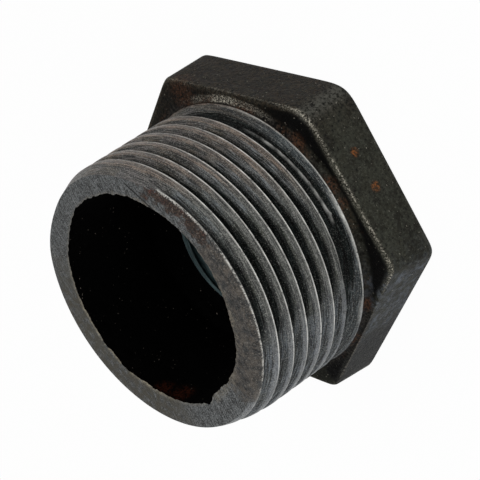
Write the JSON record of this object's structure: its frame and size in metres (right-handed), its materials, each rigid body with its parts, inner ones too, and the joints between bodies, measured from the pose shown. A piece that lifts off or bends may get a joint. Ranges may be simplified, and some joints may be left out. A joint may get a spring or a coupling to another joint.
{
  "type": "pipe reducing bush",
  "caption": "Hexagon reducing bush in malleable iron: tapered male pipe thread outside, smaller female pipe thread through the hexagon head, open cored waterway.",
  "frame": {"origin": "centre of the hexagon head's outer face, on which the bush stands", "axes": "+Z along the bush's axis from the head to the male end, +X through a corner of the hexagon"},
  "size_m": [0.043, 0.0376, 0.0253],
  "materials": {
    "iron_casting": "black malleable iron as cast on the head, grey machined threads and sawn end, light rust"
  },
  "bodies": {
    "root": {"reducing_bush": "iron_casting"}
  },
  "joints": []
}
